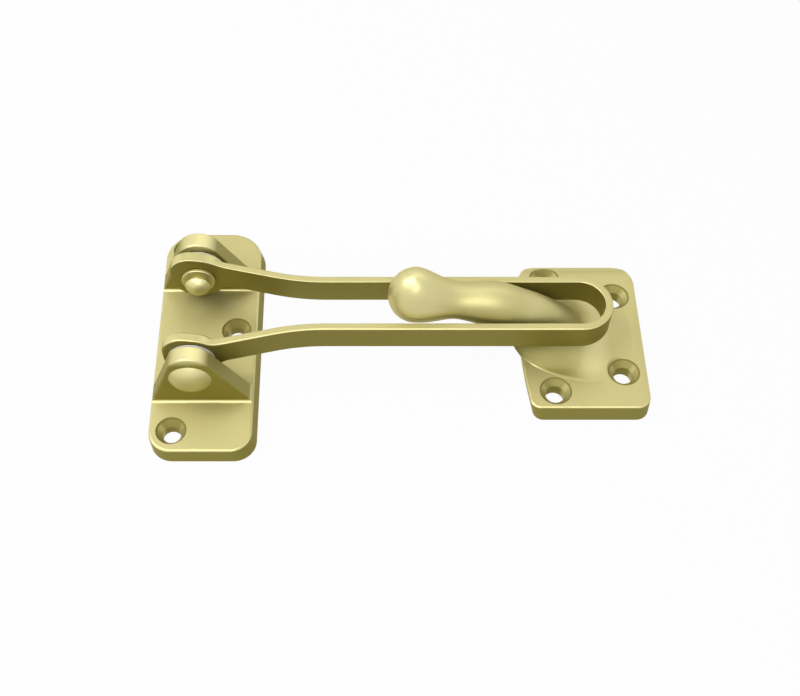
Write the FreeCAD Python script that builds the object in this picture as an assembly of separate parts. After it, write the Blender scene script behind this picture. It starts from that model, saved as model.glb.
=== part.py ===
"""Door guard: a bent swing bar on a lugged hinge plate, and a keeper with a ball-ended horn.

All sizes are in millimetres. X runs from the hinge plate to the keeper, Y lies along
the pivot, and Z points away from the door. The backs of both plates lie on Z = 0, and the
origin is under the middle of the hinge plate's top face.
"""
import FreeCAD
import Part

import math
import os

Vector = FreeCAD.Vector

X_AXIS = Vector(1, 0, 0)
Y_AXIS = Vector(0, 1, 0)

# Hinge plate
HINGE_TOP_HALF_WIDTH = 13.6
HINGE_TOP_HALF_LENGTH = 36.4
HINGE_THICKNESS = 4.8
HINGE_FRONT_CORNER_R = 6.0
HINGE_REAR_CORNER_R = 8.8
HINGE_RIGHT_FLARE = 1.1
HINGE_LEFT_UNDERCUT = 0.4
HINGE_END_DRAFT = 0.35
HINGE_EDGE_R = 0.75

# Lugs on the hinge plate
LUG_OUTER_Y = 21.0
LUG_INNER_TOP_Y = 16.4
LUG_INNER_DRAFT = 0.4
LUG_BASE_LEFT_X = -13.4
LUG_BASE_RIGHT_X = 13.25
LUG_CREST_X = -2.1
LUG_CREST_Z = 18.0
LUG_CREST_R = 6.0
LUG_EDGE_R = 0.5
LUG_FOOT_R = 0.95
LUG_FOOT_BITE = 0.3
LUG_DEPTH_IN_PLATE = 2.0

# Pivot and rivets
PIVOT_X = -2.2
PIVOT_Z = 15.1
SHANK_R = 2.5
HEAD_R = 5.6
HEAD_HEIGHT = 2.3
BUTTON_R = 3.55
BUTTON_RIM_Y = 9.4
BUTTON_TIP_Y = 7.2
NECK_R = 2.45

# Swing bar
BAR_THICKNESS = 2.05
BAR_BOTTOM_Z = 12.4
BAR_TOP_Z = 20.5
BAR_ARM_OUTER_Y = 8.8
BAR_END_X = 109.4
EYE_R = 7.55
EYE_CORNER_X = -4.1
EYE_CORNER_Z = 17.25
EYE_CORNER_R = 5.75
EYE_OUTER_Y = 14.15
EYE_PAD_THICKNESS = 1.05
FRONT_PAD_EDGE_R = 1.0
REAR_PAD_EDGE_R = 0.25
EYE_FLAT_END_X = 2.2
SPLAY_ANGLE = 13.2
SPLAY_START_R = 9.0
SPLAY_END_R = 58.0
EYE_TOP_BLEND_R = 10.0
EYE_BOTTOM_BLEND_R = 4.0
BAR_OUTER_EDGE_R = 0.5
BAR_INNER_EDGE_R = 0.25

# Rings on the rivets
COLLAR_R = 4.6
COLLAR_THICKNESS = 1.0
COLLAR_EDGE_R = 0.3
FRONT_WASHER_R = 6.3
REAR_WASHER_R = 6.9
WASHER_EDGE_R = 0.2
AXIAL_PLAY = 0.1
RUNNING_CLEARANCE = 0.05
WASHER_SEAT_GAP = 0.03

# Keeper plate
KEEPER_LEFT_X = 85.45
KEEPER_LEFT_BULGE_R = 150.0
KEEPER_LEFT_UNDERCUT = 1.5
KEEPER_RIGHT_X = 119.75
KEEPER_RIGHT_DRAFT = 0.35
KEEPER_HALF_LENGTH = 24.0
KEEPER_THICKNESS = 6.2
KEEPER_FRONT_CORNERS_R = (2.75, 3.75)
KEEPER_REAR_CORNERS_R = (6.0, 6.8)
KEEPER_EDGE_R = 0.65
KEEPER_REAR_ROLL_WIDTH = 4.0
KEEPER_REAR_ROLL_DROP = 1.5
KEEPER_SIDE_ROLL_WIDTH = 2.6
KEEPER_SIDE_ROLL_DROP = 0.5
KEEPER_RECESS_DEPTH = 1.1
KEEPER_RECESS_MARGIN = 2.2
KEEPER_RECESS_CORNER_R = 2.0

# Horn on the keeper
BALL_X = 56.8
BALL_Z = 23.8
BALL_HALF_X = 7.43
BALL_HALF_Y = 6.4
BALL_HALF_Z = 8.85
BALL_STATIONS_DEG = (4, 12, 22, 34, 48, 62, 77, 91)

# Each station of the horn: its top point and its low point (x, z), its half width, and how
# square its corners are. The last one lies inside the plate.
HORN_STATIONS = [
    ((60.9, 30.75), (60.9, 15.15), 5.95, 2.0),
    ((64.0, 28.5), (64.0, 16.0), 5.4, 2.0),
    ((67.3, 26.75), (67.0, 16.6), 5.06, 2.0),
    ((72.6, 26.3), (71.4, 15.3), 5.4, 2.0),
    ((78.4, 26.2), (74.8, 13.8), 5.9, 2.0),
    ((84.5, 23.9), (77.4, 12.1), 6.2, 2.0),
    ((91.0, 20.6), (79.6, 10.5), 6.35, 2.0),
    ((97.2, 16.5), (81.0, 9.2), 6.4, 2.0),
    ((101.6, 12.9), (82.0, 8.0), 7.3, 2.15),
    ((105.2, 9.9), (83.0, 6.6), 9.6, 2.3),
    ((109.0, 7.75), (84.0, 5.8), 12.3, 2.4),
    ((113.0, 6.75), (85.0, 5.7), 15.0, 2.5),
    ((117.2, 6.1), (86.6, 5.4), 18.4, 2.5),
]

# Screw holes
HINGE_HOLES = [(-7.6, -30.2), (8.0, 2.0), (-7.6, 30.2)]
HINGE_HOLE_R = 2.45
HINGE_SINK_R = 4.06
HINGE_SINK_DEPTH = 2.25
KEEPER_INNER_HOLES_FROM_LEFT = 8.8
KEEPER_INNER_HOLES_FROM_END = 5.3
KEEPER_OUTER_HOLES_FROM_RIGHT = 6.6
KEEPER_OUTER_HOLES_FROM_END = 11.3
KEEPER_HOLE_R = 2.6
KEEPER_SINK_R = 4.25
KEEPER_SINK_DEPTH = 1.85

# How far a cutting shape stands out past the piece it cuts
CUT_REACH = 1.0


def line(start, end):
    """A straight edge."""
    return Part.makeLine(start, end)


def arc(centre, radius, start_deg, end_deg, to_point):
    """An arc from one angle to another; to_point turns plane coordinates into a point."""
    def at(deg):
        angle = math.radians(deg)
        return to_point(centre[0] + radius * math.cos(angle), centre[1] + radius * math.sin(angle))
    return Part.Arc(at(start_deg), at((start_deg + end_deg) / 2), at(end_deg)).toShape()


def rounded_outline(left, right, half_length, front_r, rear_r, z, bulge_r=None):
    """A closed rectangle at height z, with its own radius at each corner.

    Each pair of radii is for the left and the right corner. With a bulge radius the left
    edge is an arc of that radius whose middle is at left.
    """
    def at(x, y):
        return Vector(x, y, z)

    def left_corner(radius):
        """The x of a left corner's centre, and how far its left end is turned by the bulge."""
        if not bulge_r:
            return left + radius, 0
        tilt = math.asin((half_length - radius) / (bulge_r - radius))
        return left + bulge_r - (bulge_r - radius) * math.cos(tilt), math.degrees(tilt)

    front_left_x, front_tilt = left_corner(front_r[0])
    rear_left_x, rear_tilt = left_corner(rear_r[0])
    front_right_x = right - front_r[1]
    rear_right_x = right - rear_r[1]
    if bulge_r:
        left_edge = arc((left + bulge_r, 0), bulge_r, 180 - rear_tilt, 180 + front_tilt, at)
    else:
        left_edge = line(at(left, half_length - rear_r[0]), at(left, -half_length + front_r[0]))
    edges = [
        line(at(front_left_x, -half_length), at(front_right_x, -half_length)),
        arc((front_right_x, -half_length + front_r[1]), front_r[1], -90, 0, at),
        line(at(right, -half_length + front_r[1]), at(right, half_length - rear_r[1])),
        arc((rear_right_x, half_length - rear_r[1]), rear_r[1], 0, 90, at),
        line(at(rear_right_x, half_length), at(rear_left_x, half_length)),
        arc((rear_left_x, half_length - rear_r[0]), rear_r[0], 90, 180 - rear_tilt, at),
        left_edge,
        arc((front_left_x, -half_length + front_r[0]), front_r[0], 180 + front_tilt, 270, at),
    ]
    return Part.Wire(edges)


def top_rim(shape, z):
    """The outer edges of the flat face at height z."""
    for face in shape.Faces:
        box = face.BoundBox
        if box.ZLength < 1e-6 and abs(box.ZMax - z) < 1e-6:
            return face.OuterWire.Edges
    raise ValueError("no flat face at this height")


def countersunk_hole(x, y, top_z, hole_r, sink_r, sink_depth):
    """The solid to take away for one screw: a straight hole and a cone open at the top."""
    slope = (sink_r - hole_r) / sink_depth
    bore = Part.makeCylinder(hole_r, top_z + 2 * CUT_REACH, Vector(x, y, -CUT_REACH))
    cone = Part.makeCone(hole_r, sink_r + slope * CUT_REACH, sink_depth + CUT_REACH,
                         Vector(x, y, top_z - sink_depth))
    return bore.fuse(cone)


def turned(profile, side):
    """Turn a closed outline of (radius, distance from the middle) about the pivot on one side."""
    points = [Vector(PIVOT_X + r, side * y, PIVOT_Z) for r, y in profile]
    face = Part.Face(Part.makePolygon(points + points[:1]))
    return face.revolve(Vector(PIVOT_X, 0, PIVOT_Z), Y_AXIS, 360)


def hinge_plate_body():
    """The oblong plate, wider at its back on the right and at both ends."""
    front = (HINGE_FRONT_CORNER_R, HINGE_FRONT_CORNER_R)
    rear = (HINGE_REAR_CORNER_R, HINGE_REAR_CORNER_R)
    back = rounded_outline(HINGE_LEFT_UNDERCUT - HINGE_TOP_HALF_WIDTH,
                           HINGE_TOP_HALF_WIDTH + HINGE_RIGHT_FLARE,
                           HINGE_TOP_HALF_LENGTH + HINGE_END_DRAFT, front, rear, 0)
    top = rounded_outline(-HINGE_TOP_HALF_WIDTH, HINGE_TOP_HALF_WIDTH, HINGE_TOP_HALF_LENGTH,
                          front, rear, HINGE_THICKNESS)
    body = Part.makeLoft([back, top], True, True)
    return body.makeFillet(HINGE_EDGE_R, top_rim(body, HINGE_THICKNESS))


def lug_outline(low_z):
    """The side view of a lug: two slopes that touch a round crest, ending at low_z."""
    def at(x, z):
        return Vector(x, 0, z)

    def tangent_deg(base_x, turn):
        """Angle on the crest circle of the line from a base corner that touches it."""
        dx = base_x - LUG_CREST_X
        dz = HINGE_THICKNESS - LUG_CREST_Z
        return math.degrees(math.atan2(dz, dx) + turn * math.acos(LUG_CREST_R / math.hypot(dx, dz)))

    def on_crest(deg):
        angle = math.radians(deg)
        return at(LUG_CREST_X + LUG_CREST_R * math.cos(angle), LUG_CREST_Z + LUG_CREST_R * math.sin(angle))

    right_deg = tangent_deg(LUG_BASE_RIGHT_X, 1)
    left_deg = tangent_deg(LUG_BASE_LEFT_X, -1) + 360
    right_touch = on_crest(right_deg)
    left_touch = on_crest(left_deg)
    right_foot = at(LUG_BASE_RIGHT_X, HINGE_THICKNESS)
    left_foot = at(LUG_BASE_LEFT_X, HINGE_THICKNESS)
    right_low = at(LUG_BASE_RIGHT_X, low_z)
    left_low = at(LUG_BASE_LEFT_X, low_z)
    crest = arc((LUG_CREST_X, LUG_CREST_Z), LUG_CREST_R, right_deg, left_deg, at)
    return Part.Wire([line(left_low, right_low), line(right_low, right_foot), line(right_foot, right_touch),
                      crest, line(left_touch, left_foot), line(left_foot, left_low)])


def lug(side):
    """One lug with its rounded crest, its slightly tapered inner face and its rounded foot."""
    low_z = HINGE_THICKNESS - LUG_DEPTH_IN_PLATE
    crest_top = LUG_CREST_Z + LUG_CREST_R
    width = 4 * HINGE_TOP_HALF_WIDTH
    outline = Part.Face(lug_outline(low_z))
    outline.translate(Vector(0, -2 * LUG_OUTER_Y, 0))
    side_view = outline.extrude(Vector(0, 4 * LUG_OUTER_Y, 0))

    base_y = LUG_INNER_TOP_Y - LUG_INNER_DRAFT
    taper = LUG_INNER_DRAFT / (crest_top - HINGE_THICKNESS)
    low_y = base_y - taper * (HINGE_THICKNESS - low_z)
    section = [(low_y, low_z), (LUG_OUTER_Y, low_z), (LUG_OUTER_Y, crest_top + CUT_REACH),
               (LUG_INNER_TOP_Y + taper * CUT_REACH, crest_top + CUT_REACH)]
    points = [Vector(-width / 2, side * y, z) for y, z in section]
    slab = Part.Face(Part.makePolygon(points + points[:1])).extrude(Vector(width, 0, 0))
    body = slab.common(side_view)
    crest_edges = [edge for edge in body.Edges
                   if edge.BoundBox.ZMax > LUG_CREST_Z - LUG_CREST_R
                   and edge.BoundBox.YLength < LUG_CREST_R < edge.BoundBox.XLength]
    body = body.makeFillet(LUG_EDGE_R, crest_edges)
    for face_y, outward in ((LUG_OUTER_Y, 1), (base_y, -1)):
        body = body.fuse(lug_foot(side, face_y, outward, side_view))
    return body


def lug_foot(side, face_y, outward, side_view):
    """The hollow-curved strip that joins a lug's face to the top of the plate."""
    near = side * (face_y - outward * LUG_FOOT_BITE)
    far = side * (face_y + outward * LUG_FOOT_R)
    left = -2 * HINGE_TOP_HALF_WIDTH
    width = 4 * HINGE_TOP_HALF_WIDTH
    box = Part.makeBox(width, abs(far - near), LUG_FOOT_R + LUG_FOOT_BITE,
                       Vector(left, min(near, far), HINGE_THICKNESS - LUG_FOOT_BITE))
    hollow = Part.makeCylinder(LUG_FOOT_R, width, Vector(left, far, HINGE_THICKNESS + LUG_FOOT_R), X_AXIS)
    return box.cut(hollow).common(side_view)


def hinge_plate():
    """The plate and its two lugs as one casting, drilled for the rivets and the screws."""
    body = hinge_plate_body()
    for side in (-1, 1):
        body = body.fuse(lug(side))
    reach = 2 * LUG_OUTER_Y
    body = body.cut(Part.makeCylinder(SHANK_R, 2 * reach, Vector(PIVOT_X, -reach, PIVOT_Z), Y_AXIS))
    for x, y in HINGE_HOLES:
        body = body.cut(countersunk_hole(x, y, HINGE_THICKNESS, HINGE_HOLE_R, HINGE_SINK_R,
                                         HINGE_SINK_DEPTH))
    return body


def bar_side(offset, side):
    """One long side of the bar seen from above, from the eye's end to the bend.

    The offset moves the side inwards by the same amount everywhere.
    """
    def at(x, y):
        return Vector(x, side * y, 0)

    angle = math.radians(SPLAY_ANGLE)
    start_drop = SPLAY_START_R * (1 - math.cos(angle))
    end_drop = SPLAY_END_R * (1 - math.cos(angle))
    slope_drop = EYE_OUTER_Y - BAR_ARM_OUTER_Y - start_drop - end_drop
    start_r = SPLAY_START_R - offset
    end_r = SPLAY_END_R + offset
    end_centre_x = (EYE_FLAT_END_X + (SPLAY_START_R + SPLAY_END_R) * math.sin(angle)
                    + slope_drop / math.tan(angle))
    start_arc = arc((EYE_FLAT_END_X, EYE_OUTER_Y - SPLAY_START_R), start_r, 90, 90 - SPLAY_ANGLE, at)
    end_arc = arc((end_centre_x, BAR_ARM_OUTER_Y + SPLAY_END_R), end_r, 270 - SPLAY_ANGLE, 270, at)
    first = at(PIVOT_X - 2 * EYE_R, EYE_OUTER_Y - offset)
    last = at(BAR_END_X - BAR_ARM_OUTER_Y, BAR_ARM_OUTER_Y - offset)
    return [
        line(first, start_arc.Vertexes[0].Point),
        start_arc,
        line(start_arc.Vertexes[-1].Point, end_arc.Vertexes[0].Point),
        end_arc,
        line(end_arc.Vertexes[-1].Point, last),
    ]


def bar_from_above():
    """The bent strip seen from above, as a face with the thickness of the strip."""
    def at(x, y):
        return Vector(x, y, 0)

    centre = (BAR_END_X - BAR_ARM_OUTER_Y, 0)
    outer_r = BAR_ARM_OUTER_Y
    inner_r = BAR_ARM_OUTER_Y - BAR_THICKNESS
    edges = bar_side(0, 1) + bar_side(0, -1) + bar_side(BAR_THICKNESS, 1) + bar_side(BAR_THICKNESS, -1)
    edges += [arc(centre, outer_r, -90, 90, at), arc(centre, inner_r, -90, 90, at)]
    end_x = PIVOT_X - 2 * EYE_R
    inner_y = EYE_OUTER_Y - BAR_THICKNESS
    for side in (-1, 1):
        edges.append(line(at(end_x, side * EYE_OUTER_Y), at(end_x, side * inner_y)))
    return Part.Face(Part.Wire(Part.__sortEdges__(edges)))


def eye_outline():
    """The side view of an eye: a round disc that is fuller at its upper corner.

    Two circles, one about the pivot and a smaller one in the corner, are joined by the two
    straight lines that touch both.
    """
    def on_circle(centre_x, centre_z, radius, deg):
        angle = math.radians(deg)
        return Vector(centre_x + radius * math.cos(angle), 0, centre_z + radius * math.sin(angle))

    def at(x, z):
        return Vector(x, 0, z)

    dx = EYE_CORNER_X - PIVOT_X
    dz = EYE_CORNER_Z - PIVOT_Z
    towards = math.degrees(math.atan2(dz, dx))
    opening = math.degrees(math.acos((EYE_R - EYE_CORNER_R) / math.hypot(dx, dz)))
    first = towards - opening
    last = towards + opening
    return Part.Wire([
        arc((EYE_CORNER_X, EYE_CORNER_Z), EYE_CORNER_R, first, last, at),
        line(on_circle(EYE_CORNER_X, EYE_CORNER_Z, EYE_CORNER_R, last),
             on_circle(PIVOT_X, PIVOT_Z, EYE_R, last)),
        arc((PIVOT_X, PIVOT_Z), EYE_R, last, first + 360, at),
        line(on_circle(PIVOT_X, PIVOT_Z, EYE_R, first),
             on_circle(EYE_CORNER_X, EYE_CORNER_Z, EYE_CORNER_R, first)),
    ])


def eye_slab(near, far):
    """The eye's side view as a slab between two places along Y."""
    face = Part.Face(eye_outline())
    face.translate(Vector(0, near, 0))
    return face.extrude(Vector(0, far - near, 0))


def eye_faces(side):
    """How far an eye's inner and outer faces lie from the middle, with its pad on the rear side."""
    inner = EYE_OUTER_Y - BAR_THICKNESS
    if side > 0:
        return inner, EYE_OUTER_Y + EYE_PAD_THICKNESS
    return inner - EYE_PAD_THICKNESS, EYE_OUTER_Y


def bar_side_view():
    """The strip and eye seen from the side, as a thick slab with blended corners."""
    depth = 4 * EYE_OUTER_Y
    strip = Part.makeBox(BAR_END_X + CUT_REACH - PIVOT_X, depth, BAR_TOP_Z - BAR_BOTTOM_Z,
                         Vector(PIVOT_X, -depth / 2, BAR_BOTTOM_Z))
    slab = eye_slab(-depth / 2, depth / 2).fuse(strip).removeSplitter()

    def corner_at(z):
        return [edge for edge in slab.Edges
                if edge.BoundBox.YLength > EYE_OUTER_Y and edge.BoundBox.XLength < 1e-3
                and abs(edge.BoundBox.ZMax - z) < 1e-3
                and PIVOT_X < edge.BoundBox.XMin < PIVOT_X + EYE_R]

    slab = slab.makeFillet(EYE_TOP_BLEND_R, corner_at(BAR_TOP_Z))
    return slab.makeFillet(EYE_BOTTOM_BLEND_R, corner_at(BAR_BOTTOM_Z))


def eye_pad(side):
    """The flat pad on the rear side of an eye, with its own edge radius, let into the eye."""
    bite = BAR_OUTER_EDGE_R + BAR_INNER_EDGE_R
    if side > 0:
        far = EYE_OUTER_Y + EYE_PAD_THICKNESS
        radius = REAR_PAD_EDGE_R
    else:
        far = BAR_THICKNESS + EYE_PAD_THICKNESS - EYE_OUTER_Y
        radius = FRONT_PAD_EDGE_R
    pad = eye_slab(far - EYE_PAD_THICKNESS - bite, far)
    rim = [edge for edge in pad.Edges
           if edge.BoundBox.YLength < 1e-6 and abs(edge.BoundBox.YMax - far) < 1e-6]
    return pad.makeFillet(radius, rim)


def swing_bar():
    """The bar: the bent strip cut to its side view, with rounded edges and two drilled eyes."""
    strip = bar_from_above().extrude(Vector(0, 0, 2 * BAR_TOP_Z))
    bar = strip.common(bar_side_view())
    bar = bar.makeFillet(BAR_OUTER_EDGE_R, bar_rim_edges(bar, 0))
    bar = bar.makeFillet(BAR_INNER_EDGE_R, bar_rim_edges(bar, BAR_THICKNESS))
    bar = bar.fuse([eye_pad(-1), eye_pad(1)])
    reach = 2 * EYE_OUTER_Y
    bore = Part.makeCylinder(SHANK_R + RUNNING_CLEARANCE, 2 * reach, Vector(PIVOT_X, -reach, PIVOT_Z), Y_AXIS)
    return bar.cut(bore)


def bar_rim_edges(bar, offset):
    """The upper and lower edges of the bar on its outer side or, by the offset, its inner side."""
    bend = arc((BAR_END_X - BAR_ARM_OUTER_Y, 0), BAR_ARM_OUTER_Y - offset, -90, 90,
               lambda x, y: Vector(x, y, 0))
    wall = Part.Compound(bar_side(offset, 1) + bar_side(offset, -1) + [bend])
    found = []
    for edge in bar.Edges:
        first, last = edge.ParameterRange
        gaps = []
        for share in (0.1, 0.5, 0.9):
            point = edge.valueAt(first + (last - first) * share)
            gaps.append(wall.distToShape(Part.Vertex(point.x, point.y, 0))[0])
        upright = edge.BoundBox.XLength < 1e-3 and edge.BoundBox.YLength < 1e-3
        if max(gaps) < 1e-3 and not upright:
            found.append(edge)
    return found


def rivet(side):
    """One rivet: domed head outside the lug, shank, neck and domed button on the inside."""
    head_r = (HEAD_R ** 2 + HEAD_HEIGHT ** 2) / (2 * HEAD_HEIGHT)
    head_centre = side * (LUG_OUTER_Y + HEAD_HEIGHT - head_r)
    head = Part.makeSphere(head_r, Vector(PIVOT_X, head_centre, PIVOT_Z))
    head = head.common(slab_across(side, LUG_OUTER_Y, LUG_OUTER_Y + HEAD_HEIGHT + CUT_REACH))
    depth = BUTTON_RIM_Y - BUTTON_TIP_Y
    button_r = (BUTTON_R ** 2 + depth ** 2) / (2 * depth)
    button_centre = side * (BUTTON_TIP_Y + button_r)
    button = Part.makeSphere(button_r, Vector(PIVOT_X, button_centre, PIVOT_Z))
    button = button.common(slab_across(side, BUTTON_TIP_Y - CUT_REACH, BUTTON_RIM_Y))
    neck_end = eye_faces(side)[0] - AXIAL_PLAY - COLLAR_THICKNESS
    shank = turned([(0, neck_end), (SHANK_R, neck_end), (SHANK_R, LUG_OUTER_Y + HEAD_HEIGHT / 2),
                    (0, LUG_OUTER_Y + HEAD_HEIGHT / 2)], side)
    neck_far = neck_end + COLLAR_THICKNESS / 2
    neck = turned([(0, BUTTON_RIM_Y - depth / 2), (NECK_R, BUTTON_RIM_Y - depth / 2),
                   (NECK_R, neck_far), (0, neck_far)], side)
    return head.fuse([button, shank, neck]).removeSplitter()


def slab_across(side, near, far):
    """A block around the pivot between two distances from the middle."""
    half = 2 * HEAD_R
    low = min(side * near, side * far)
    return Part.makeBox(2 * half, far - near, 2 * half, Vector(PIVOT_X - half, low, PIVOT_Z - half))


def ring(side, radius, near, far, edge_r):
    """A flat ring on a rivet's shank between two distances from the middle."""
    body = turned([(SHANK_R, near), (radius, near), (radius, far), (SHANK_R, far)], side)
    outer_edges = [edge for edge in body.Edges
                   if abs(edge.BoundBox.XLength - 2 * radius) < 1e-3 and edge.BoundBox.YLength < 1e-6]
    return body.makeFillet(edge_r, outer_edges)


def collar(side):
    """The thin metal ring on the inner side of an eye."""
    far = eye_faces(side)[0] - AXIAL_PLAY
    return ring(side, COLLAR_R, far - COLLAR_THICKNESS, far, COLLAR_EDGE_R)


def washer(side):
    """The nylon ring between an eye and its lug."""
    radius = REAR_WASHER_R if side > 0 else FRONT_WASHER_R
    taper = LUG_INNER_DRAFT / (LUG_CREST_Z + LUG_CREST_R - HINGE_THICKNESS)
    seat = LUG_INNER_TOP_Y - LUG_INNER_DRAFT + taper * (PIVOT_Z - radius - HINGE_THICKNESS)
    return ring(side, radius, eye_faces(side)[1] + AXIAL_PLAY, seat - WASHER_SEAT_GAP, WASHER_EDGE_R)


def horn_section(top, bottom, half_width, squareness):
    """A closed oval across the horn, through a top and a bottom point of its side view.

    It starts and ends at the bottom point, so its seam runs along the hidden underside. A
    squareness of 2 gives an ellipse; a higher one gives fuller corners.
    """
    steps = 24
    middle = Vector((top[0] + bottom[0]) / 2, 0, (top[1] + bottom[1]) / 2)
    up = Vector(top[0], 0, top[1]) - middle
    points = []
    for step in range(steps + 1):
        angle = math.pi + math.tau * step / steps
        along = math.copysign(abs(math.cos(angle)) ** (2 / squareness), math.cos(angle))
        across = math.copysign(abs(math.sin(angle)) ** (2 / squareness), math.sin(angle))
        if step in (0, steps):
            across = 0
        points.append(middle + up * along + Y_AXIS * (half_width * across))
    curve = Part.BSplineCurve()
    curve.interpolate(Points=points, InitialTangent=-Y_AXIS, FinalTangent=-Y_AXIS)
    return Part.Wire([curve.toShape()])


def ball_section(degrees):
    """An oval across the ball, at an angle from its tip seen from its middle."""
    angle = math.radians(degrees)
    x = BALL_X - BALL_HALF_X * math.cos(angle)
    half_z = BALL_HALF_Z * math.sin(angle)
    return horn_section((x, BALL_Z + half_z), (x, BALL_Z - half_z), BALL_HALF_Y * math.sin(angle), 2.0)


def horn():
    """The curved horn from the ball's tip through the neck down to its spread root."""
    sections = [ball_section(degrees) for degrees in BALL_STATIONS_DEG]
    sections += [horn_section(*station) for station in HORN_STATIONS]
    return Part.makeLoft(sections, True, False)


def roll_off(start, drop, width, floor, lift, to_point):
    """A closed outline for one edge that rolls down: flat up to start, then an arc to its end.

    The arc falls by drop over width. The outline goes down to floor, and back past lift.
    """
    radius = (width ** 2 + drop ** 2) / (2 * drop)
    end_deg = math.degrees(math.asin(width / radius))
    rolled = arc((start, KEEPER_THICKNESS - radius), radius, 90, 90 - end_deg, to_point)
    end = to_point(start + width, KEEPER_THICKNESS - drop)
    low_end = to_point(start + width, floor)
    low_back = to_point(lift, floor)
    high_back = to_point(lift, KEEPER_THICKNESS)
    return Part.Wire([rolled, line(end, low_end), line(low_end, low_back), line(low_back, high_back),
                      line(high_back, to_point(start, KEEPER_THICKNESS))])


def rolled_slab(start, drop, width, back, to_point, run):
    """The space under a top that rolls off at one edge, run along that edge."""
    outline = roll_off(start, drop, width, -CUT_REACH, back, to_point)
    return Part.Face(outline).extrude(run)


def keeper_body():
    """The keeper's plate: rounded rim, top rolling off at the rear and both sides, hollow back."""
    top_right = KEEPER_RIGHT_X - KEEPER_RIGHT_DRAFT
    back = rounded_outline(KEEPER_LEFT_X + KEEPER_LEFT_UNDERCUT, KEEPER_RIGHT_X, KEEPER_HALF_LENGTH,
                           KEEPER_FRONT_CORNERS_R, KEEPER_REAR_CORNERS_R, 0, KEEPER_LEFT_BULGE_R)
    top = rounded_outline(KEEPER_LEFT_X, top_right, KEEPER_HALF_LENGTH, KEEPER_FRONT_CORNERS_R,
                          KEEPER_REAR_CORNERS_R, KEEPER_THICKNESS, KEEPER_LEFT_BULGE_R)
    body = Part.makeLoft([back, top], True, True)
    body = body.makeFillet(KEEPER_EDGE_R, top_rim(body, KEEPER_THICKNESS))

    middle = (KEEPER_LEFT_X + KEEPER_RIGHT_X) / 2
    reach = 2 * KEEPER_HALF_LENGTH
    rear = rolled_slab(KEEPER_HALF_LENGTH - KEEPER_REAR_ROLL_WIDTH, KEEPER_REAR_ROLL_DROP,
                       KEEPER_REAR_ROLL_WIDTH, -reach,
                       lambda y, z: Vector(middle - reach, y, z), Vector(2 * reach, 0, 0))
    right = rolled_slab(top_right - KEEPER_SIDE_ROLL_WIDTH, KEEPER_SIDE_ROLL_DROP,
                        KEEPER_SIDE_ROLL_WIDTH + CUT_REACH, middle,
                        lambda x, z: Vector(x, -reach, z), Vector(0, 2 * reach, 0))
    left = rolled_slab(KEEPER_SIDE_ROLL_WIDTH - KEEPER_LEFT_X, KEEPER_SIDE_ROLL_DROP,
                       KEEPER_SIDE_ROLL_WIDTH + CUT_REACH, -middle,
                       lambda x, z: Vector(-x, -reach, z), Vector(0, 2 * reach, 0))
    return body.common(rear).common(right.fuse(left))


def keeper_holes():
    """The middles of the keeper's four screw holes, measured in from the plate's edges."""
    places = []
    for side in (-1, 1):
        places.append((KEEPER_LEFT_X + KEEPER_INNER_HOLES_FROM_LEFT,
                       side * (KEEPER_HALF_LENGTH - KEEPER_INNER_HOLES_FROM_END)))
        places.append((KEEPER_RIGHT_X - KEEPER_OUTER_HOLES_FROM_RIGHT,
                       side * (KEEPER_HALF_LENGTH - KEEPER_OUTER_HOLES_FROM_END)))
    return places


def keeper():
    """The plate and horn as one casting, with a hollow back, drilled for its screws."""
    margin = KEEPER_RECESS_MARGIN
    corners = (KEEPER_RECESS_CORNER_R, KEEPER_RECESS_CORNER_R)
    recess = rounded_outline(KEEPER_LEFT_X + KEEPER_LEFT_UNDERCUT + margin, KEEPER_RIGHT_X - margin,
                             KEEPER_HALF_LENGTH - margin, corners, corners, -CUT_REACH, KEEPER_LEFT_BULGE_R)
    body = keeper_body().fuse(horn())
    body = body.cut(Part.Face(recess).extrude(Vector(0, 0, KEEPER_RECESS_DEPTH + CUT_REACH)))
    for x, y in keeper_holes():
        body = body.cut(countersunk_hole(x, y, KEEPER_THICKNESS, KEEPER_HOLE_R, KEEPER_SINK_R,
                                         KEEPER_SINK_DEPTH))
    return body


def one_solid(shape):
    """The single solid inside a result, so that each piece is one closed body."""
    if len(shape.Solids) != 1:
        raise ValueError("a piece fell apart into %d solids" % len(shape.Solids))
    return shape.Solids[0]


def main():
    """Build every piece and write it to its own file."""
    os.makedirs("parts", exist_ok=True)
    pieces = {
        "hinge_plate": hinge_plate(),
        "swing_bar": swing_bar(),
        "front_rivet": rivet(-1),
        "rear_rivet": rivet(1),
        "front_collar": collar(-1),
        "rear_collar": collar(1),
        "front_washer": washer(-1),
        "rear_washer": washer(1),
        "keeper": keeper(),
    }
    for name, shape in pieces.items():
        solid = one_solid(shape)
        box = solid.BoundBox
        print("%s valid=%s volume=%.1f x %.2f..%.2f y %.2f..%.2f z %.2f..%.2f" % (
            name, solid.isValid(), solid.Volume, box.XMin, box.XMax, box.YMin, box.YMax, box.ZMin, box.ZMax))
        solid.exportStep("parts/%s.step" % name)


main()
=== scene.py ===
# %% [markdown]
# # Door guard in satin brass
#
# The CAD model already gives every rigid piece its place and size. This notebook loads it as a
# fixed frame, sets up the camera and a small photo studio around it, and gives the pieces their
# finishes: satin brass for the castings and the bar, and white nylon for the two washers.

# %% Load the frame
import math

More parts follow.
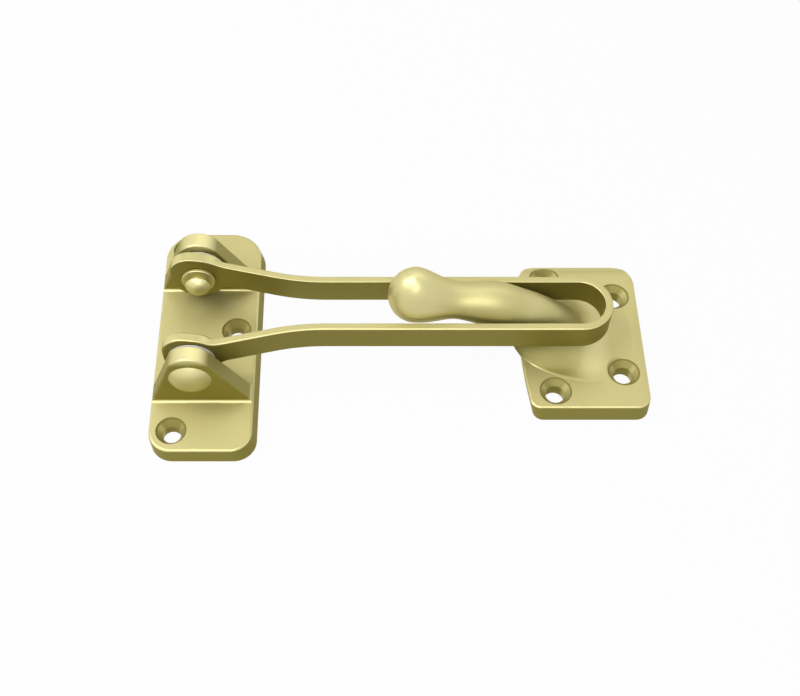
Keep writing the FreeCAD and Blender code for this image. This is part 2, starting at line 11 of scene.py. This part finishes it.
import bpy
import numpy as np
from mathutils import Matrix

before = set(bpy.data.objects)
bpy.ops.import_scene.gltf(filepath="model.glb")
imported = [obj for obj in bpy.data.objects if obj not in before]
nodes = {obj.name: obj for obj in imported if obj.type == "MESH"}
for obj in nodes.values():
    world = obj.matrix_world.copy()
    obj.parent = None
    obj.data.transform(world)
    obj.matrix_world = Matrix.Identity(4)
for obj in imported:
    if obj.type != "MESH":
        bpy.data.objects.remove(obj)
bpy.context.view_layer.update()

scene = bpy.context.scene
scene.view_settings.view_transform = "Standard"

# %% [markdown]
# ## Shader maths as Python
#
# A procedural finish is a small piece of arithmetic on coordinates and noise. Wiring it node by
# node hides the arithmetic, so each socket is wrapped in a class whose operators add the nodes.


# %% A socket that can be added and multiplied
class Wire:
    """A node output that behaves like a number or a colour: each operator adds one node."""

    def __init__(self, tree, socket):
        self.tree = tree
        self.socket = socket

    def math(self, operation, *others):
        """One Math node of this operation, on this wire and the given values or wires."""
        inputs = dict(enumerate((self,) + others))
        return node(self.tree, "ShaderNodeMath", {"operation": operation}, inputs)["Value"]

    def __add__(self, other):
        return self.math("ADD", other)

    def __radd__(self, other):
        return self.math("ADD", other)

    def __sub__(self, other):
        return self.math("SUBTRACT", other)

    def __rsub__(self, other):
        return (self * -1.0) + other

    def __mul__(self, other):
        return self.math("MULTIPLY", other)

    def __rmul__(self, other):
        return self.math("MULTIPLY", other)

    def __pow__(self, power):
        return self.math("POWER", power)

    def clamped(self, low=0.0, high=1.0):
        """This value kept between two limits."""
        return self.math("MAXIMUM", low).math("MINIMUM", high)


def node(tree, kind, settings=None, inputs=None):
    """Adds one node, its settings first and then its inputs, and returns its outputs by name."""
    made = tree.nodes.new(kind)
    for name, value in (settings or {}).items():
        setattr(made, name, value)
    for name, value in (inputs or {}).items():
        socket = made.inputs[name]
        if isinstance(value, Wire):
            tree.links.new(value.socket, socket)
        else:
            socket.default_value = value
    return {output.name: Wire(tree, output) for output in made.outputs if output.enabled}


def mixed(tree, share, first, second):
    """A colour between two others, by a share from 0 to 1."""
    made = tree.nodes.new("ShaderNodeMix")
    made.data_type = "RGBA"
    by_kind = {(socket.name, socket.type): socket for socket in made.inputs}
    wanted = {("Factor", "VALUE"): share, ("A", "RGBA"): first, ("B", "RGBA"): second}
    for key, value in wanted.items():
        if isinstance(value, Wire):
            tree.links.new(value.socket, by_kind[key])
        else:
            by_kind[key].default_value = value
    output = [socket for socket in made.outputs if socket.type == "RGBA"][0]
    return Wire(tree, output)


def new_material(name):
    """A material with an empty node tree, and that tree."""
    material = bpy.data.materials.new(name)
    material.use_nodes = True
    material.node_tree.nodes.clear()
    return material, material.node_tree

# %% [markdown]
# ## The camera
#
# The picture was taken from in front and above, with no tilt to the side. Parallel edges of the
# plates run together a little, which gives the distance; their meeting point gives the angle.

# %% Place the camera
camera_data = bpy.data.cameras.new("camera")
camera_data.sensor_width = 36.0
camera_data.lens = 57.68  # millimetres, for the 36 mm sensor
camera_data.shift_x = 0.0536
camera_data.clip_start = 0.01
CAMERA_DIPS_DEG = 55.54
camera = bpy.data.objects.new("camera", camera_data)
camera.location = (0.04128, -0.20268, 0.29442)
camera.rotation_euler = (math.radians(90 - CAMERA_DIPS_DEG), 0, 0)
scene.collection.objects.link(camera)
scene.camera = camera
place_mm = [round(1000 * value) for value in camera.location]
print("camera at", place_mm, "mm, lens", round(camera_data.lens, 2), "mm")

# %% [markdown]
# ## The studio
#
# Much of what brass shows is what it mirrors, so the room matters as much as the metal. The guard
# lies on a pale floor in a white room, and the metal mirrors that white. The room sheds only a
# little light of its own, so that the lamps draw the shading and a faint shadow on the floor.

# %% Floor and room
SEEN_WHITE = (1.0, 1.0, 1.0, 1.0)
MIDDLE = (0.05, 0, 0.01)
FLOOR_HALF_WIDTH = 1.5
FLOOR_WHITE_SHARE = 0.96
ROOM_GREY = 0.10


def seen_rays(tree):
    """1 for the rays that show the room itself: to the camera, mirrored or passed through."""
    path = node(tree, "ShaderNodeLightPath")
    seen = path["Is Camera Ray"] + path["Is Glossy Ray"] + path["Is Transmission Ray"]
    return seen.clamped()


def floor_mesh(name, half):
    """A flat square of the given half width, as one face on Z = 0."""
    corners = np.array([(-1, -1), (1, -1), (1, 1), (-1, 1)], float) * half
    points = np.column_stack([corners + MIDDLE[:2], np.zeros(4)])
    mesh = bpy.data.meshes.new(name)
    mesh.from_pydata(points.tolist(), [], [(0, 1, 2, 3)])
    made = bpy.data.objects.new(name, mesh)
    scene.collection.objects.link(made)
    return made


floor = floor_mesh("floor", FLOOR_HALF_WIDTH)
floor_finish, tree = new_material("pale_floor")
shade = node(tree, "ShaderNodeBsdfDiffuse", None, {"Color": (0.9, 0.9, 0.9, 1)})["BSDF"]
white = node(tree, "ShaderNodeEmission", None, {"Color": SEEN_WHITE, "Strength": 1.0})["Emission"]
share = seen_rays(tree) * FLOOR_WHITE_SHARE
surface = node(tree, "ShaderNodeMixShader", None, {"Fac": share, 1: shade, 2: white})["Shader"]
node(tree, "ShaderNodeOutputMaterial", None, {"Surface": surface})
floor.data.materials.append(floor_finish)

world = bpy.data.worlds.new("room")
scene.world = world
world.use_nodes = True
tree = world.node_tree
tree.nodes.clear()
seen = seen_rays(tree)
strength = seen + (1 - seen) * ROOM_GREY
background = node(tree, "ShaderNodeBackground", None,
                  {"Color": SEEN_WHITE, "Strength": strength})["Background"]
node(tree, "ShaderNodeOutputWorld", None, {"Surface": background})

# %% [markdown]
# ## The lamps
#
# Large soft lamps draw wide, soft-edged streaks on satin metal. The main one hangs high on the
# left, so that slopes to the left are bright and slopes to the right are dark. A second one stands
# in front, near the camera, and two weak ones behind lift the far rims.


# %% Hang the lamps
def lamp(name, place, aim, width, power):
    """A square area lamp at a place in metres, turned to look at a point."""
    data = bpy.data.lights.new(name, "AREA")
    data.shape = "RECTANGLE"
    data.size = width
    data.size_y = width
    data.energy = power
    made = bpy.data.objects.new(name, data)
    made.location = place
    away = np.array(aim, float) - np.array(place, float)
    flat = math.hypot(away[0], away[1])
    made.rotation_euler = (math.atan2(flat, -away[2]), 0, math.atan2(-away[0], away[1]))
    scene.collection.objects.link(made)
    return made


# Each row gives a place in metres, the width of the square lamp and its power in watts.
LAMPS = {
    "main_lamp": ((-0.45, -0.05, 0.82), 0.6, 4.6),
    "front_lamp": ((0.05, -0.61, 0.74), 0.6, 2.45),
    "rear_right_lamp": ((0.52, 0.47, 0.68), 0.5, 0.45),
    "rear_lamp": ((0.05, 0.47, 0.83), 0.5, 0.5),
}
for name, (place, width, power) in LAMPS.items():
    lamp(name, place, MIDDLE, width, power)
watts = sum(power for place, width, power in LAMPS.values())
print(len(LAMPS), "lamps, watts in all:", round(watts, 2))

# %% [markdown]
# ## Where the brass gets painted shade and painted highlights
#
# The upright side walls get a darker colour as painted shade, and the flats a middle colour. The
# rounds, edges, domes, the crests of the lugs and the horn, get a paler colour as painted
# highlight, and are also smoother and more metallic as polished brass. All three can be told apart
# by the direction that the surface faces, since flats face up and walls face sideways, and the
# crests and the horn by their height.


# %% Find the walls, the flats and the rounds
FACING_RAMP = (0.25, 0.92)
ROUND_RAMP = (0.22, 0.62)


def ramp(value, low, high):
    """A smooth step of a wire: 0 below low, 1 above high."""
    return node(value.tree, "ShaderNodeMapRange", {"interpolation_type": "SMOOTHSTEP"},
                {"Value": value, "From Min": low, "From Max": high})["Result"]


def parts_of(tree, output):
    """The X, Y and Z wires of one output of the Texture Coordinate node."""
    vector = node(tree, "ShaderNodeTexCoord")[output]
    return node(tree, "ShaderNodeSeparateXYZ", None, {"Vector": vector})


# Painted shade: the side walls that this finds get the darker side colour in the brass.
def faces_up_share(tree):
    """0 on side walls, 1 on faces that look away from the door, and a smooth step between."""
    return ramp(parts_of(tree, "Normal")["Z"], *FACING_RAMP)


# Painted highlight: the rounds found here get a paler colour, along with real polish.
def rounds(tree):
    """1 on rounds that face upwards at a slant, 0 on flats and walls.

    The smaller of the surface direction's height and its sideways length, in a smooth step.
    """
    height = parts_of(tree, "Normal")["Z"]
    sideways = (1 - height * height).clamped() ** 0.5
    return ramp(height.math("MINIMUM", sideways), *ROUND_RAMP)


# %% [markdown]
# ## The countersinks
#
# Each countersink is turned with a cutter. Such a cone mirrors in two streaks, one on the left and
# one on the right, and looks darker between them and at its rim. The cones are small, so the
# streaks are painted as highlights and the darker parts and the rim as painted shade, by the place
# around each hole's axis.

# %% Find the countersinks
# Each row gives the middle of a hole across and along, and the radius of its sink, in metres.
SINKS = [(-0.0076, -0.0302, 0.0041), (0.0080, 0.0020, 0.0041), (-0.0076, 0.0302, 0.0041),
         (0.09425, -0.0187, 0.0043), (0.09425, 0.0187, 0.0043),
         (0.11315, -0.0127, 0.0043), (0.11315, 0.0127, 0.0043)]
SINK_EDGE = 0.0001
RIM_STARTS, RIM_ENDS = 0.0006, 0.0002
STREAK_RAMP = (0.35, 0.85)


def around_sinks(tree):
    """The share inside the countersinks, a thin ring at their rims, and the streaks where a
    highlight is painted.

    The first two come from the distance to the middle of each hole, the root of dx squared plus dy
    squared. The streaks lie to the left and right, where dx squared over distance squared nears 1.
    """
    at = parts_of(tree, "Object")
    inside, rim, streak = 0.0, 0.0, 0.0
    for across, along, radius in SINKS:
        distance = ((at["X"] - across) ** 2 + (at["Y"] - along) ** 2) ** 0.5
        sideways = (at["X"] - across).math("DIVIDE", distance) ** 2
        within = 1 - ramp(distance, radius - SINK_EDGE, radius + SINK_EDGE)
        inside = within + inside
        rim = within * ramp(distance, radius - RIM_STARTS, radius - RIM_ENDS) + rim
        streak = within * ramp(sideways, *STREAK_RAMP) + streak
    return inside, rim, streak


print(len(SINKS), "countersinks")

# %% [markdown]
# ## Painted highlights and painted shade on the castings
#
# The castings get a paler colour as painted highlight, with real polish, on their rounded edges,
# on the crests of the lugs and on the ball, a little less along the horn, and in a brighter patch
# of the root beside the loop's end. The foot of the horn under the loop gets a darker colour as
# painted shadow, and is duller too. Each region is a smooth step in height or in length, all in
# metres.

# %% Share out the painted highlights and shade
KEEPER_STARTS = (0.030, 0.040)
HINGE_TOP = (0.0052, 0.0062)
LUG_CREST = (0.0208, 0.0238)
HORN_RISE = (0.0100, 0.0220)
BALL_ENDS = (0.0600, 0.0700)
PLATE_TOP = 0.00621
FOOT_RISE = (PLATE_TOP, 0.0064)
# The foot of the horn, where a shadow under the loop is painted, ends at these heights and
# lengths.
FOOT_ENDS_UP = (0.0090, 0.0150)
FOOT_ENDS_RIGHT = (0.096, 0.105)
# A patch of painted highlight on the root beside the loop's end.
PATCH_RISE = (PLATE_TOP, 0.0070)
PATCH_STARTS = (0.0990, 0.1050)
PATCH_ENDS = (0.1055, 0.1110)


def largest(first, *others):
    """The largest of several wires."""
    for other in others:
        first = first.math("MAXIMUM", other)
    return first


def casting_highlights_and_shade(tree):
    """How much painted highlight with polish, and painted shade with dullness, the castings get,
    from 0 to 1 each, by place and direction.
    """
    at = parts_of(tree, "Object")
    inside, rim, streak = around_sinks(tree)
    on_keeper = ramp(at["X"], *KEEPER_STARTS)
    on_horn = ramp(at["Z"], *FOOT_RISE) * on_keeper
    slopes = ramp(at["Z"], *HINGE_TOP) * (1 - on_keeper)
    # Painted highlights, with real polish: rounds, lug crests, the horn and ball, a patch and the
    # cone streaks.
    edges = rounds(tree) * (1 - slopes) * (1 - inside) * (1 - on_horn * 0.7)
    crest = ramp(at["Z"], *LUG_CREST) * (1 - on_keeper)
    ball = 1 - ramp(at["X"], *BALL_ENDS)
    horn = ramp(at["Z"], *HORN_RISE) * on_keeper * (ball * 0.5 + 0.35)
    highlight_patch = ramp(at["X"], *PATCH_STARTS) * (1 - ramp(at["X"], *PATCH_ENDS)) * 0.8
    highlight_patch = highlight_patch * ramp(at["Z"], *PATCH_RISE)
    polish_and_highlight = largest(edges, crest, horn, highlight_patch, streak * (1 - rim) * 0.5)
    # Painted shadow: the foot of the horn under the loop gets the darker side colour, and is
    # duller.
    low = 1 - ramp(at["Z"], *FOOT_ENDS_UP)
    foot_shadow = on_horn * low * (1 - ramp(at["X"], *FOOT_ENDS_RIGHT))
    # Painted shade, with real dullness: inside the countersinks, at their rims and at the foot of
    # the horn.
    dullness_and_shade = largest(inside * (1 - streak) * 0.4, rim * 0.9, foot_shadow * 0.9)
    return polish_and_highlight, dullness_and_shade


def rounds_highlight(tree):
    """Painted highlights with polish on the rounds of the bar and the turned pieces, and no
    painted shade.
    """
    return rounds(tree), 0.0


# %% [markdown]
# ## Satin brass
#
# The castings, the bar and the turned pieces have the same satin brass under a thin clear lacquer.
# The metal spreads light widely, so it is matt, with a soft gleam where it is burnished, helped by
# a paler colour painted on as highlight. Very fine grain and a slow drift in tone keep it from
# looking like plastic. The upright faces get a darker colour as painted shade, stronger on the
# castings and the bar than on the turned rivets.

# %% Mix the brass
# The three side colours are painted shade for upright faces; the bright colour is a painted
# highlight for burnished places.
BRASS_SHADE = (0.30, 0.262, 0.055, 1)
BAR_SHADE = (0.27, 0.235, 0.050, 1)
TURNED_SHADE = (0.60, 0.54, 0.21, 1)
BRASS_FACE = (0.69, 0.625, 0.29, 1)
BRASS_HIGHLIGHT = (0.86, 0.79, 0.40, 1)
BRASS_EDGE = (0.72, 0.64, 0.32, 1)
BRASS_ROUGH = 0.48
METAL_SHARE = 0.5


def noise(tree, place, scale, detail, roughness):
    """A noise of about 0.5 on average, over a place wire."""
    inputs = {"Vector": place, "Scale": scale, "Detail": detail, "Roughness": roughness}
    return node(tree, "ShaderNodeTexNoise", None, inputs)["Fac"]


def brass(name, grain_scales, highlight_and_shade, shaded_side):
    """Satin brass: matt in general, smoother and with a paler painted highlight where burnished,
    with fine grain.

    The grain is noise on Object coordinates, stretched by three scales. It and a slow drift in
    tone shift the colour, the roughness and the relief a little. The shaded side colour is painted
    shade, given to faces that stand upright.
    """
    material, tree = new_material(name)
    place = node(tree, "ShaderNodeTexCoord")["Object"]
    stretched = node(tree, "ShaderNodeMapping", None, {"Vector": place, "Scale": grain_scales})
    grain = noise(tree, stretched["Vector"], 900.0, 4.0, 0.6)
    speckle = noise(tree, place, 4200.0, 2.0, 0.5)
    drift = noise(tree, place, 28.0, 3.0, 0.5)
    polish_and_highlight, dullness_and_shade = highlight_and_shade(tree)
    tone = (drift * 0.7 + grain * 0.3).clamped()
    # Painted shade: upright faces and dull places take the darker side colour, faces looking up
    # the face colour.
    lit_face_and_shade = mixed(tree, faces_up_share(tree) * (1 - dullness_and_shade), shaded_side, BRASS_FACE)
    # Painted highlight: burnished places take the paler bright colour.
    base = mixed(tree, tone * 0.3, mixed(tree, polish_and_highlight, lit_face_and_shade, BRASS_HIGHLIGHT), shaded_side)
    texture = (grain - 0.5) * 0.10 + (drift - 0.5) * 0.06
    relief = grain * 0.6 + speckle * 0.4
    bump = node(tree, "ShaderNodeBump", None,
                {"Height": relief, "Strength": 0.10, "Distance": 0.00004})["Normal"]
    shader = node(tree, "ShaderNodeBsdfPrincipled", None, {
        "Base Color": base, "Metallic": METAL_SHARE + polish_and_highlight * 0.2 - dullness_and_shade * 0.3,
        "Roughness": BRASS_ROUGH - polish_and_highlight * 0.12 + dullness_and_shade * 0.14 + texture, "Normal": bump,
        "Coat Weight": 0.05, "Coat Roughness": 0.3, "Coat IOR": 1.5,
        "Specular IOR Level": 0.25, "Specular Tint": BRASS_EDGE})["BSDF"]
    node(tree, "ShaderNodeOutputMaterial", None, {"Surface": shader})
    return material


casting_brass = brass("casting_brass", (1.0, 3.0, 1.0), casting_highlights_and_shade, BRASS_SHADE)
bar_brass = brass("bar_brass", (0.25, 3.0, 3.0), rounds_highlight, BAR_SHADE)
turned_brass = brass("turned_brass", (1.0, 1.0, 1.0), rounds_highlight, TURNED_SHADE)
print("casting brass:", len(casting_brass.node_tree.nodes), "shader nodes")

# %% [markdown]
# ## Nylon
#
# The washers are plain white nylon. It lets a little light in, so its shadows are soft, and its
# turned faces are nearly smooth.


# %% Mix the nylon
NYLON_SHADE = (0.90, 0.88, 0.92, 1)
NYLON_LIGHT = (0.95, 0.94, 0.96, 1)
NYLON_ROUGH = 0.42


def nylon(name):
    """White nylon: a faint mottle in tone, gloss and relief, and a little light let in."""
    material, tree = new_material(name)
    place = node(tree, "ShaderNodeTexCoord")["Object"]
    mottle = noise(tree, place, 600.0, 3.0, 0.5)
    base = mixed(tree, mottle, NYLON_SHADE, NYLON_LIGHT)
    bump = node(tree, "ShaderNodeBump", None,
                {"Height": mottle, "Strength": 0.08, "Distance": 0.00003})["Normal"]
    shader = node(tree, "ShaderNodeBsdfPrincipled", None, {
        "Base Color": base, "Roughness": NYLON_ROUGH + (mottle - 0.5) * 0.1, "Normal": bump,
        "Subsurface Weight": 0.3, "Subsurface Scale": 0.001})["BSDF"]
    node(tree, "ShaderNodeOutputMaterial", None, {"Surface": shader})
    return material


washer_nylon = nylon("washer_nylon")
print("nylon:", len(washer_nylon.node_tree.nodes), "shader nodes")

# %% [markdown]
# ## Dressing the pieces
#
# Every piece in the picture is a solid of the CAD model. Its mesh stays as it is, and only the
# material in its slots is changed.

# %% Give each piece its finish
FINISHES = {
    "hinge_plate": casting_brass, "keeper": casting_brass, "swing_bar": bar_brass,
    "front_rivet": turned_brass, "rear_rivet": turned_brass,
    "front_collar": turned_brass, "rear_collar": turned_brass,
    "front_washer": washer_nylon, "rear_washer": washer_nylon,
}
for name, finish in FINISHES.items():
    for index in range(len(nodes[name].material_slots)):
        nodes[name].material_slots[index].material = finish
    print(name, "has", len(nodes[name].data.polygons), "faces")
